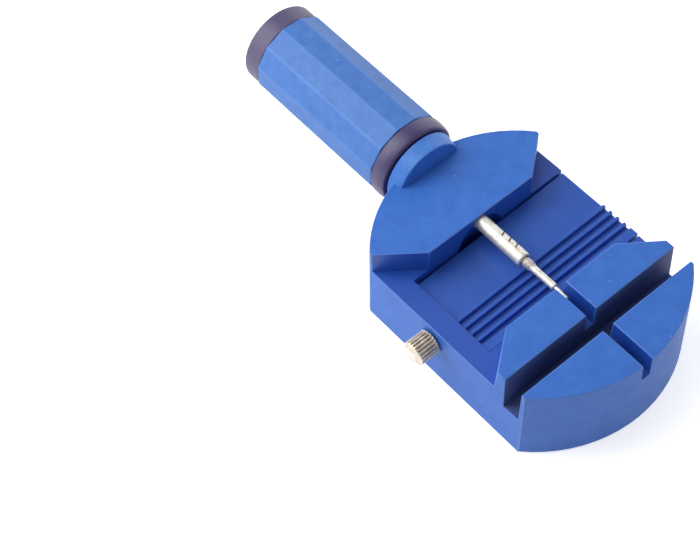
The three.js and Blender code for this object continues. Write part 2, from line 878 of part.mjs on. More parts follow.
const trayDrive = new THREE.Group();
trayDrive.add(part("tray", makeTray(), trayPlastic));
trayDrive.add(part("height_screw", makeHeightScrew(), nickel));
trayDrive.add(part("screw_clip", makeScrewClip(), steel));
trayDrive.add(part("tray_nut", makeTrayNut(), brass));

const handle = new THREE.Group();
handle.add(part("grip", makeGrip(), bluePlastic));
handle.add(part("front_ring", makeFrontRing(), purplePlastic));
handle.add(part("end_cap", makeEndCap(), purplePlastic));

const pinTrain = new THREE.Group();
pinTrain.add(part("pin_holder", makeHolder(), steel));
pinTrain.add(part("holder_clip", makeHolderClip(), steel));
pinTrain.add(part("pin_tip", makeTip(), steel));
pinTrain.add(part("ejector_pin", makeEjectorPin(), steel));

const tool = new THREE.Group();
tool.add(base, trayDrive, handle, pinTrain);

console.log("tray rises " + trayLift.toFixed(2) + " mm over its travel");

export default tool;
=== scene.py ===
"""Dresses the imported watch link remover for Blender.

The tool stands on a pale floor: a blue base with a sliding band tray, a knurled height
knob in its left wall, and a twelve-sided handle on the spindle that drives the ejector pin.
Lengths in the classes are millimetres, and every mesh is written in metres. The spindle runs
along Y towards the handle, and the height screw along X from the left wall.
"""

from __future__ import annotations

import logging
import math
from dataclasses import dataclass
from enum import Enum, IntEnum
from typing import Callable

import bmesh
import bpy
import numpy as np
from mathutils import Matrix, Vector


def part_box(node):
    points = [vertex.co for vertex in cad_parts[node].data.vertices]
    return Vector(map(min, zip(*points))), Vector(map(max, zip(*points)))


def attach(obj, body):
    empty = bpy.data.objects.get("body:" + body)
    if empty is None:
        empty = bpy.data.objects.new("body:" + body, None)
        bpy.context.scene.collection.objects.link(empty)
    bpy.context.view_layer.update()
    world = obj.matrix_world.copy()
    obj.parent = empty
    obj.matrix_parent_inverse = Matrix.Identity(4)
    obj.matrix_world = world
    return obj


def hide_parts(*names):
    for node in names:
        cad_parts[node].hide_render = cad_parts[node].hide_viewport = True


logging.basicConfig(level=logging.INFO, format="%(name)s %(message)s")
LOG = logging.getLogger("link_remover")

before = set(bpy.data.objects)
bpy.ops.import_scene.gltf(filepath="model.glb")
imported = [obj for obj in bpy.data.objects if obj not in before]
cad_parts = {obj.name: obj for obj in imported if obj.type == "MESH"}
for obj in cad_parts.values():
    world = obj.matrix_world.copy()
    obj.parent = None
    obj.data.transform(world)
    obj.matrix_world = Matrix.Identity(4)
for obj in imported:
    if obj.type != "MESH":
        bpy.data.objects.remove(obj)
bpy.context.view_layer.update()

MM = 0.001
SEAM = 1e-7  # metres: points nearer than this are one point
SAME_MM = 1e-6  # millimetres: rows whose radii differ by less lie on one run
FLAT_DEGREES = 0.6  # faces that turn by less are joined
MOULDED_SHARP_DEGREES = 35.0  # edges that turn by more stay crisp
TURNED_SHARP_DEGREES = 40.0
MOST_REACH = 0.48  # of a side, taken by the rounding at each end

Array = np.ndarray
Tree = bpy.types.NodeTree
Socket = bpy.types.NodeSocket
Place = tuple[float, float, float]
Weight = Callable[[Array, float], float]
Relief = Callable[[Array, Array, Array], Array]


class Axis(Enum):
    """The two lines that pieces are turned about, in millimetres.

    The spindle runs along Y, at its X and Z, and the height screw along X, at its Y and Z.
    """

    SPINDLE = (0.0, 15.9)
    HEIGHT_SCREW = (2.6, 9.6)

    def distance(self, side: Array | float, high: Array | float) -> Array:
        """Gives how far points lie from the line."""
        return np.hypot(side - self.value[0], high - self.value[1])


def linear(hex_colour: str) -> tuple[float, float, float, float]:
    """Turns an sRGB hex colour into linear light.

    Args:
        hex_colour: six hex digits, with or without a leading #.

    Returns:
        Red, green, blue and an alpha of one.
    """
    digits = hex_colour.lstrip("#")
    channels = np.array([int(digits[i : i + 2], 16) for i in (0, 2, 4)]) / 255.0
    low = channels / 12.92
    high = ((channels + 0.055) / 1.055) ** 2.4
    red, green, blue = np.where(channels <= 0.04045, low, high)
    return float(red), float(green), float(blue), 1.0


def node(
    tree: Tree,
    kind: str,
    settings: dict[str, object] | None = None,
    inputs: dict[str | int, object] | None = None,
) -> bpy.types.Node:
    """Adds a node with its settings, and fills or links its inputs.

    Args:
        tree: the node tree that takes the node.
        kind: the node's type name.
        settings: attributes of the node.
        inputs: a value or another node's output socket for each named input.

    Returns:
        The new node.
    """
    made = tree.nodes.new(kind)
    for name, value in (settings or {}).items():
        setattr(made, name, value)
    for name, value in (inputs or {}).items():
        if isinstance(value, Socket):
            tree.links.new(value, made.inputs[name])
        else:
            made.inputs[name].default_value = value
    return made


def blank_material(name: str) -> tuple[bpy.types.Material, Tree]:
    """Makes a material whose node tree is empty.

    Args:
        name: the material's name.

    Returns:
        The material and its node tree.
    """
    material = bpy.data.materials.new(name)
    material.use_nodes = True
    material.node_tree.nodes.clear()
    return material, material.node_tree


@dataclass(frozen=True)
class MouldedPlastic:
    """ABS from a steel mould: a pigmented body colour under a fine moulded grain.

    The pigment clouds slightly as the melt flows, the grain scatters the light, and a knock
    leaves a small chalky speck.
    """

    name: str
    pigment: str
    cloud: str
    roughness: float
    grain_depth_mm: float
    speck: float = 0.0
    dust: float = 0.0
    cloud_mm: float = 7.0
    grain_mm: float = 0.45  # real spark grain is near 0.1 mm, drawn coarser so that it shows
    ior: float = 1.54
    chalk: str = "#b9cdf0"
    speck_gap_mm: float = 3.4
    speck_core: float = 0.03  # share of the gap
    speck_rim: float = 0.075  # share of the gap
    dust_roughness: float = 0.4

    def material(self) -> bpy.types.Material:
        """Builds the node tree once, and returns the same material after that.

        Returns:
            The material.
        """
        if self.name in bpy.data.materials:
            return bpy.data.materials[self.name]
        material, tree = blank_material(self.name)
        place = node(tree, "ShaderNodeTexCoord").outputs["Object"]
        clouds = node(tree, "ShaderNodeTexNoise", inputs={
            "Vector": place, "Scale": 1 / (self.cloud_mm * MM), "Detail": 4.0, "Roughness": 0.6
        })
        spread = node(tree, "ShaderNodeMapRange", inputs={
            "Value": clouds.outputs["Fac"], "From Min": 0.32, "From Max": 0.68
        })
        tint = node(tree, "ShaderNodeMix", {"data_type": "RGBA"}, {
            0: spread.outputs["Result"], 6: linear(self.pigment), 7: linear(self.cloud)
        })
        colour = tint.outputs[2]
        if self.speck:
            colour = self.speckled(tree, place, colour)
        grain = node(tree, "ShaderNodeTexNoise", inputs={
            "Vector": place, "Scale": 1 / (self.grain_mm * MM), "Detail": 2.0, "Roughness": 0.5
        })
        depth = self.grain_depth_mm * MM
        bump = node(tree, "ShaderNodeBump", inputs={
            "Strength": 1.0, "Distance": depth, "Height": grain.outputs["Fac"]
        })
        shader = node(tree, "ShaderNodeBsdfPrincipled", inputs={
            "Base Color": colour, "Roughness": self.roughness, "IOR": self.ior,
            "Sheen Weight": self.dust, "Sheen Roughness": self.dust_roughness,
            "Normal": bump.outputs["Normal"],
        })
        node(tree, "ShaderNodeOutputMaterial", inputs={"Surface": shader.outputs["BSDF"]})
        return material

    def speckled(self, tree: Tree, place: Socket, colour: Socket) -> Socket:
        """Dots the colour with chalky specks, one in each cell of a Voronoi pattern.

        Args:
            tree: the material's node tree.
            place: the Object coordinates.
            colour: the plain colour.

        Returns:
            The speckled colour.
        """
        cells = node(tree, "ShaderNodeTexVoronoi", inputs={
            "Vector": place, "Scale": 1 / (self.speck_gap_mm * MM), "Randomness": 1.0
        })
        dot = node(tree, "ShaderNodeMapRange", inputs={
            "Value": cells.outputs["Distance"], "From Min": self.speck_core,
            "From Max": self.speck_rim, "To Min": self.speck, "To Max": 0.0,
        })
        mixed = node(tree, "ShaderNodeMix", {"data_type": "RGBA"}, {
            0: dot.outputs["Result"], 6: colour, 7: linear(self.chalk)
        })
        return mixed.outputs[2]


@dataclass(frozen=True)
class TurnedMetal:
    """Metal from a lathe or a drawing die: fine rings run round the axis, under a thin tarnish."""

    name: str
    bright: str
    dull: str
    roughness: float
    axis: Axis
    mark_mm: float = 0.12  # tool marks are finer, drawn coarser so that they show
    mark_length_mm: float = 6.0
    mark_depth_mm: float = 0.002
    tarnish_mm: float = 1.1
    smoother: float = 0.06
    rougher: float = 0.08

    def material(self) -> bpy.types.Material:
        """Builds the node tree once, and returns the same material after that.

        Returns:
            The material.
        """
        if self.name in bpy.data.materials:
            return bpy.data.materials[self.name]
        material, tree = blank_material(self.name)
        place = node(tree, "ShaderNodeTexCoord").outputs["Object"]
        across, along = 1 / (self.mark_length_mm * MM), 1 / (self.mark_mm * MM)
        scale = (across, along, across) if self.axis is Axis.SPINDLE else (along, across, across)
        stretched = node(tree, "ShaderNodeMapping", inputs={"Vector": place, "Scale": scale})
        marks = node(tree, "ShaderNodeTexNoise", inputs={
            "Vector": stretched.outputs["Vector"], "Scale": 1.0, "Detail": 2.0
        })
        tarnish = node(tree, "ShaderNodeTexNoise", inputs={
            "Vector": place, "Scale": 1 / (self.tarnish_mm * MM), "Detail": 3.0
        })
        stain = node(tree, "ShaderNodeMapRange", inputs={
            "Value": tarnish.outputs["Fac"], "From Min": 0.42, "From Max": 0.7
        })
        colour = node(tree, "ShaderNodeMix", {"data_type": "RGBA"}, {
            0: stain.outputs["Result"], 6: linear(self.bright), 7: linear(self.dull)
        })
        rough = node(tree, "ShaderNodeMapRange", inputs={
            "Value": marks.outputs["Fac"], "From Min": 0.3, "From Max": 0.7,
            "To Min": self.roughness - self.smoother, "To Max": self.roughness + self.rougher,
        })
        depth = self.mark_depth_mm * MM
        bump = node(tree, "ShaderNodeBump", inputs={
            "Strength": 1.0, "Distance": depth, "Height": marks.outputs["Fac"]
        })
        shader = node(tree, "ShaderNodeBsdfPrincipled", inputs={
            "Base Color": colour.outputs[2], "Metallic": 1.0, "Roughness": rough.outputs["Result"],
            "Normal": bump.outputs["Normal"],
        })
        node(tree, "ShaderNodeOutputMaterial", inputs={"Surface": shader.outputs["BSDF"]})
        return material


Finish = MouldedPlastic | TurnedMetal


# ABS with a spark-eroded grain scatters light, so it looks lighter than the polished recesses.
GRAINED_BLUE = MouldedPlastic(
    "abs_grained_blue", "#2161bd", "#2d6dc9", 0.54, 0.012, speck=0.22, dust=0.03, cloud_mm=3.6
)
GRIP_BLUE = MouldedPlastic(
    "abs_grip_blue", "#3067b4", "#3f74be", 0.56, 0.014, speck=0.2, dust=0.08, cloud_mm=2.2
)
# The polished faces of the mould are slightly glossy. Their deeper blue is partly painted shade:
# it stands in for the shade in the recesses and on the head's face, and for a dimmer reflection.
POLISHED_AND_SHADED_BLUE = MouldedPlastic("abs_polished_blue", "#2051b2", "#1d4caa", 0.4, 0.001)
TRAY_BLUE = MouldedPlastic("abs_tray_blue", "#2a56b1", "#2f5fbb", 0.32, 0.001)
# The band slot's walls and floor take a dull greyish blue: painted shade, matched to the slot's
# shaded look.
BAND_SLOT_SHADE_BLUE = MouldedPlastic("abs_sawn_blue", "#465a94", "#3f528a", 0.6, 0.004)
# Plastic rubbed by handling loses its grain and pigment and pales, as on the boss. The pale thin
# lines on the rounded edges are painted highlight where edges catch the light, with some wear.
WORN_BLUE = MouldedPlastic("abs_worn_boss", "#3070c8", "#3f7ed2", 0.5, 0.012, cloud_mm=2.2)
EDGE_HIGHLIGHT_AND_WEAR_BLUE = MouldedPlastic("abs_rubbed_edge", "#4f7fd2", "#4374ca", 0.4, 0.002)
GRIP_EDGE_HIGHLIGHT_AND_WEAR = MouldedPlastic("abs_rubbed_grip_edge", "#3c73bf", "#447ac5", 0.5, 0.004)
TRAY_EDGE_HIGHLIGHT_AND_WEAR = MouldedPlastic("abs_rubbed_tray_edge", "#3d63c0", "#3860bc", 0.3, 0.002)
# Satin ABS of the two trims. The cap's paler, greyer purple is painted sheen, for the key light's
# broad reflection on it.
SATIN_PURPLE = MouldedPlastic("abs_satin_purple", "#413665", "#3c325e", 0.4, 0.003)
PAINTED_SHEEN_PURPLE = MouldedPlastic("abs_worn_purple", "#4d4468", "#484063", 0.48, 0.004)
# Nickel plate over a knurled brass blank: warm grey, with bright crests and brown grooves.
NICKEL_PLATE = TurnedMetal("nickel_plate", "#ebe3d5", "#cabeaa", 0.5, Axis.HEIGHT_SCREW)
GROOVE_TARNISH = TurnedMetal("groove_tarnish", "#c8b294", "#967f64", 0.55, Axis.HEIGHT_SCREW)
# Ground bright steel, nearly white under studio light.
GROUND_STEEL = TurnedMetal("ground_steel", "#edebe4", "#d5d1c6", 0.56, Axis.SPINDLE)
# Hardened and tempered strip, a plain mid grey.
SPRING_STEEL = TurnedMetal("spring_steel", "#b9b8b4", "#8d8b86", 0.35, Axis.SPINDLE)
# Free-cutting brass, turned yellow.
NUT_BRASS = TurnedMetal("nut_brass", "#c9a85a", "#8f7536", 0.38, Axis.HEIGHT_SCREW)
# The root of the tip's thread keeps a warm bloom, and a cut mark holds dark oil and oxide.
THREAD_ROOT = TurnedMetal("thread_root", "#f0e2da", "#ddccc3", 0.5, Axis.SPINDLE)
MARK_OXIDE = TurnedMetal("mark_oxide", "#645e55", "#48433c", 0.55, Axis.SPINDLE)


def fade(value: Array, start: float, width: float) -> Array:
    """Rises in a straight line from nothing at the start to one a width further on."""
    return np.clip((value - start) / width, 0, 1)


def ring_quads(rows: int, columns: int, closed_rows: bool) -> Array:
    """Faces of a grid whose columns close on themselves.

    Each face takes a point, the next one in its row, and the two above them.

    Args:
        rows: number of rows.
        columns: points in each row.
        closed_rows: whether the last row joins the first.

    Returns:
        An array of four point numbers for each face.
    """
    row = np.arange(rows if closed_rows else rows - 1)[:, None] * columns
    column = np.arange(columns)[None, :]
    above = (row + columns) % (rows * columns)
    beside = (column + 1) % columns
    corners = [row + column, row + beside, above + beside, above + column]
    return np.stack(corners, axis=-1).reshape(-1, 4)


def rounded(
    corners: list[tuple[float, float]], radii: list[float], steps: int, closed: bool = False
) -> Array:
    """Rounds the corners of a profile.

    Each corner B is replaced by (1-t)^2 A + 2t(1-t) B + t^2 C, where A and C lie on its two
    sides at the radius from it, but less than half way along them. An open profile keeps its
    first and last corner.

    Args:
        corners: the sharp profile, as radius and place along the axis.
        radii: one rounding for each corner, in millimetres.
        steps: points on each rounding.
        closed: whether the profile is a loop.

    Returns:
        The rounded profile, one point in each row.
    """
    points = np.array(corners, float)
    size = np.array(radii, float)[:, None]
    before = np.roll(points, 1, axis=0) - points
    after = np.roll(points, -1, axis=0) - points
    before_length = np.linalg.norm(before, axis=1, keepdims=True)
    after_length = np.linalg.norm(after, axis=1, keepdims=True)
    reach = np.minimum(size, MOST_REACH * np.minimum(before_length, after_length))
    start = points + before / before_length * reach
    end = points + after / after_length * reach
    t = np.linspace(0, 1, steps)[None, :, None]
    curve = (1 - t) ** 2 * start[:, None] + 2 * t * (1 - t) * points[:, None] + t**2 * end[:, None]
    if closed:
        return curve.reshape(-1, 2)
    inner = curve[1:-1].reshape(-1, 2)
    return np.vstack([points[:1], inner, points[-1:]])


def insert_rows(profile: Array, extra: Array) -> Array:
    """Adds rows inside the profile's long straight runs.

    Args:
        profile: the rounded profile.
        extra: rows whose radius is that of the run they belong to, in order along the axis.

    Returns:
        The profile with each extra row placed between the two rows round it.
    """
    start, end = profile[:-1], profile[1:]
    level = np.abs(start[:, 0] - end[:, 0]) < SAME_MM
    between = (start[:, 1] < extra[:, 1:]) & (end[:, 1] > extra[:, 1:])
    on_run = level & between & (np.abs(start[:, 0] - extra[:, :1]) < SAME_MM)
    chosen = on_run.any(axis=1)
    place = on_run.argmax(axis=1)[chosen] + 1
    return np.insert(profile, place, extra[chosen], axis=0)


def level_rows(radius: float, along: Array) -> Array:
    """Makes rows of one radius at the given places along the axis."""
    return np.stack([np.full(along.shape, radius), along], axis=1)


def tidy(mesh: bpy.types.Mesh) -> None:
    """Closes seams and poles, turns the faces outwards and marks the sharp edges.

    Args:
        mesh: the mesh to finish.
    """
    work = bmesh.new()
    work.from_mesh(mesh)
    bmesh.ops.remove_doubles(work, verts=work.verts, dist=SEAM)
    bmesh.ops.recalc_face_normals(work, faces=work.faces)
    for face in work.faces:
        face.smooth = True
    for edge in work.edges:
        edge.smooth = edge.calc_face_angle(0.0) < math.radians(TURNED_SHARP_DEGREES)
    work.to_mesh(mesh)
    work.free()


def place_piece(
    name: str, mesh: bpy.types.Mesh, body: str, stands_for: str, finishes: list[Finish]
) -> bpy.types.Object:
    """Puts a finished mesh in the scene in place of a CAD node.

    Args:
        name: the piece's name.
        mesh: its mesh, in metres, already in place.
        body: the moving body that it rides on.
        stands_for: the CAD node that it replaces.
        finishes: its finishes, in the order of the mesh's material numbers.

    Returns:
        The piece.
    """
    for finish in finishes:
        mesh.materials.append(finish.material())
    piece = bpy.data.objects.new(name, mesh)
    bpy.context.scene.collection.objects.link(piece)
    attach(piece, body)
    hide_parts(stands_for)
    LOG.info("%s: %d faces, for %s on %s", name, len(mesh.polygons), stands_for, body)
    return piece


def dress_node(name: str, finish: Finish) -> None:
    """Gives a CAD node that stays its real finish.

    Args:
        name: the node's name.
        finish: what it is made of.
    """
    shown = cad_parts[name]
    for slot in shown.material_slots:
        slot.link = "OBJECT"
        slot.material = finish.material()
    LOG.info("%s: dressed in %s", name, finish.name)


def even_shading(piece: bpy.types.Object) -> None:
    """Lets the broad faces of a piece set the shading beside its roundings.

    Args:
        piece: the piece to shade.
    """
    evened = piece.modifiers.new("even_shading", "WEIGHTED_NORMAL")
    evened.mode = "FACE_AREA"
    evened.weight = 90
    evened.keep_sharp = True


@dataclass
class TurnedPiece:
    """A solid of revolution, whose radius may also change with the angle.

    The profile holds a radius and a place along the axis in each row. The relief gives the
    radius after cutting, and the number gives each face its finish.
    """

    name: str
    axis: Axis
    profile: Array
    columns: int
    closed: bool = False
    relief: Relief | None = None
    number: Relief | None = None

    def mesh(self) -> bpy.types.Mesh:
        """Sweeps the profile round its axis.

        A point lies at its radius times the sine and cosine of the angle from the axis, and
        at its own place along it.

        Returns:
            The mesh, in metres.
        """
        angle = np.linspace(0, 2 * np.pi, self.columns, endpoint=False)
        radius, along, turn = np.broadcast_arrays(self.profile[:, :1], self.profile[:, 1:], angle)
        if self.relief:
            radius = self.relief(radius, along, turn)
        side = self.axis.value[0] + radius * np.sin(turn)
        high = self.axis.value[1] + radius * np.cos(turn)
        order = (side, along, high) if self.axis is Axis.SPINDLE else (along, side, high)
        points = np.stack(order, axis=-1).reshape(-1, 3) * MM
        quads = ring_quads(len(self.profile), self.columns, self.closed)
        mesh = bpy.data.meshes.new(self.name)
        mesh.from_pydata(points.tolist(), [], quads.tolist())
        if self.number:
            middle = [value.reshape(-1)[quads].mean(axis=1) for value in (radius, along, turn)]
            mesh.polygons.foreach_set("material_index", self.number(*middle).astype(np.int32))
        tidy(mesh)
        return mesh


@dataclass
class EasedCopy:
    """A merged copy of a CAD node whose moulded edges are rounded.

    Convex edges that turn by more than the least turn are rounded, each by the easing times
    the weight that the sub-assembly gives it. Vertices nearer than the sliver are merged.
    """

    node_name: str
    ease_mm: float
    least_turn: float
    weight: Weight
    sliver_mm: float = 0.0001
    segments: int = 2
    edge_number: int = 1

    def mesh(self, name: str) -> bpy.types.Mesh:
        """Merges the node's loose triangles, joins its flat faces and weights its edges.

        Args:
            name: the new mesh's name.

        Returns:
            The mesh, in metres, with a bevel weight on each edge to round.
        """
        mesh = bpy.data.meshes.new(name)
        work = bmesh.new()
        work.from_mesh(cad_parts[self.node_name].data)
        bmesh.ops.remove_doubles(work, verts=work.verts, dist=self.sliver_mm * MM)
        flat = math.radians(FLAT_DEGREES)
        bmesh.ops.dissolve_limit(work, angle_limit=flat, verts=work.verts, edges=work.edges)
        weights = work.edges.layers.float.new("bevel_weight_edge")
        for face in work.faces:
            face.smooth = True
            face.material_index = 0
        for edge in work.edges:
            turn = edge.calc_face_angle(0.0)
            first, second = edge.verts[0].co, edge.verts[1].co
            middle = np.array((first + second) / 2) / MM
            rise = abs(first.z - second.z) / max(edge.calc_length(), SEAM)
            eased = turn > math.radians(self.least_turn) and edge.is_convex
            edge[weights] = self.weight(middle, rise) if eased else 0.0
            edge.smooth = turn < math.radians(MOULDED_SHARP_DEGREES)
        work.to_mesh(mesh)
        work.free()
        return mesh

    def round_edges(self, piece: bpy.types.Object) -> None:
        """Adds the rounding to the finished piece, in a paler finish of painted highlight and wear.

        Args:
            piece: the piece made from this copy.
        """
        easing = piece.modifiers.new("eased_edges", "BEVEL")
        easing.limit_method = "WEIGHT"
        easing.width = self.ease_mm * MM
        easing.segments = self.segments
        easing.use_clamp_overlap = False
        easing.harden_normals = False
        # the rounded edges take a paler finish: painted highlight with some wear
        easing.material = self.edge_number
        easing.miter_outer = "MITER_SHARP"
        even_shading(piece)


class BaseFace(IntEnum):
    """The finishes of the base's faces, in the order of their numbers."""

    GRAINED = 0
    # the second finish: painted highlight on the rounded edges, with some wear
    EDGE_HIGHLIGHT_AND_WEAR = 1
    # the third finish: glossy, with a deeper blue that is partly painted shade
    POLISHED_AND_SHADED = 2
    # the fourth finish: a dull greyish blue, painted shade in the band slot
    SLOT_SHADE = 3
    WORN = 4


@dataclass
class Base:
    """The blue moulding: head, jaw, pocket and threaded neck."""

    half_width: float = 20.0
    half_length: float = 28.35
    top: float = 18.1
    ledge: float = 13.1
    head_radius: float = 26.0
    jaw_radius: float = 27.2
    head_face: float = 12.1
    jaw_face: float = -7.25
    band_slot: tuple[float, float] = (-19.1, -14.8)
    band_slot_floor: float = 9.8
    boss_radius: float = 7.4
    boss_face: float = 25.5
    neck_setback: float = 1.2
    neck_reach: float = 6.5
    holder_bore_reach: float = 2.2
    screw_bore_reach: float = 2.6
    screw_bore_end: float = -12.0
    arch_reach: float = 3.4
    jaw_cheek_start: float = 12.9
    jaw_cheek_back: float = -13.6
    ease: float = 0.17
    sliver: float = 0.09
    corner_weight: float = 0.9
    head_corner_weight: float = 0.3
    foot_weight: float = 2.6

    def edge_weight(self, middle: Array, rise: float) -> float:
        """Chooses how much of the rounding an edge takes.

        Args:
            middle: the edge's middle, in millimetres.
            rise: the share of the edge's length that goes up.

        Returns:
            Nothing on the neck, in the bores and in the pocket, less on the upright corners,
            more along the underside, and one elsewhere.
        """
        x, y, z = middle
        off_line = Axis.SPINDLE.distance(x, z)
        on_neck = y > self.half_length - self.neck_setback and off_line < self.neck_reach
        in_holder_bore = off_line < self.holder_bore_reach and y > self.jaw_face
        off_screw = Axis.HEIGHT_SCREW.distance(y, z)
        in_screw_bore = off_screw < self.screw_bore_reach and x < self.screw_bore_end
        between_walls = self.jaw_face - 0.2 < y < self.head_face + 0.2
        in_pocket = abs(x) < self.half_width - 0.4 and between_walls and z < self.ledge + 0.1
        if on_neck or in_holder_bore or in_screw_bore or in_pocket:
            return 0.0
        upright = rise > 0.9
        if upright and abs(x) > self.half_width - 0.5:
            return self.corner_weight
        if upright and abs(y - self.head_face) < 0.3:
            return self.head_corner_weight
        return self.foot_weight if z < 0.2 else 1.0

    def number_faces(self, mesh: bpy.types.Mesh) -> None:
        """Gives each face of the moulding the number of its finish.

        The distance in from the outline is the lesser of the distances to the sides and to
        the arcs across the two ends. The top, the underside, the outer walls, the neck and
        the jaw's cheeks are grained, and the boss is worn. The band slot takes a dull greyish
        blue, painted shade, and the rest a polished blue whose depth is partly painted shade.

        Args:
            mesh: the moulding, in metres.
        """
        count = len(mesh.polygons)
        centre = np.empty(count * 3)
        normal = np.empty(count * 3)
        mesh.polygons.foreach_get("center", centre)
        mesh.polygons.foreach_get("normal", normal)
        x, y, z = centre.reshape(-1, 3).T / MM
        toward_handle, upward = normal.reshape(-1, 3)[:, 1:].T
        side = self.half_width - np.abs(x)
        head = self.head_radius - np.hypot(x, y - self.half_length + self.head_radius)
        jaw = self.jaw_radius - np.hypot(x, y + self.half_length - self.jaw_radius)
        inward = np.minimum(side, np.where(y > 0, head, jaw))
        off_line = Axis.SPINDLE.distance(x, z)

        outer_wall = (inward < 0.35) & (np.abs(upward) < 0.2)
        top = (z > self.top - 0.6) & (upward > 0.9)
        underside = z < 0.1
        head_end = (y > self.head_face + 10) & (off_line > self.arch_reach)
        neck = y > self.half_length - 0.5
        along_jaw = (y < self.jaw_face - 0.3) & (y > self.jaw_cheek_back)
        jaw_cheek = along_jaw & (np.abs(x) > self.jaw_cheek_start) & (z > self.ledge + 0.3)
        grained = outer_wall | top | underside | head_end | neck | jaw_cheek

        near, far = self.band_slot
        in_slot = (y > near) & (y < far)
        # painted shade: the band slot's walls and floor take a dull greyish blue
        slot_shade = in_slot & (z > self.band_slot_floor - 0.1) & (z < self.top - 0.5)
        round_boss = (np.abs(off_line - self.boss_radius) < 0.5) & (np.abs(toward_handle) < 0.3)
        worn = round_boss & (y > self.boss_face - 0.2)
        chosen = [BaseFace.WORN, BaseFace.GRAINED, BaseFace.SLOT_SHADE]
        # the polished blue on the remaining faces is partly painted shade
        number = np.select([worn, grained, slot_shade], chosen, BaseFace.POLISHED_AND_SHADED)
        mesh.polygons.foreach_set("material_index", number.astype(np.int32))

    def build(self) -> None:
        """Builds and dresses the moulding."""
        copy = EasedCopy("body", self.ease, 28, self.edge_weight, self.sliver)
        mesh = copy.mesh("base_moulding")
        self.number_faces(mesh)
        # the second finish paints a highlight on the rounded edges, with some wear
        finishes = [GRAINED_BLUE, EDGE_HIGHLIGHT_AND_WEAR_BLUE, POLISHED_AND_SHADED_BLUE, BAND_SLOT_SHADE_BLUE, WORN_BLUE]
        piece = place_piece("base_moulding", mesh, "base", "body", finishes)
        copy.round_edges(piece)


@dataclass
class BandTray:
    """The ribbed tray and the small brass nut that it carries."""

    ease: float = 0.11
    shown_depth: float = 3.4

    def edge_weight(self, middle: Array, rise: float) -> float:
        """Rounds only what shows, near the flat and on the ribs, and nothing below."""
        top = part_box("tray")[1].z / MM
        return 1.0 if middle[2] > top - self.shown_depth else 0.0

    def build(self) -> None:
        """Builds the tray and dresses its nut."""
        copy = EasedCopy("tray", self.ease, 28, self.edge_weight)
        mesh = copy.mesh("band_tray")
        # the second finish paints a highlight on the rounded edges, with some wear
        finishes = [TRAY_BLUE, TRAY_EDGE_HIGHLIGHT_AND_WEAR]
        piece = place_piece("band_tray", mesh, "tray", "tray", finishes)
        copy.round_edges(piece)
        dress_node("tray_nut", NUT_BRASS)


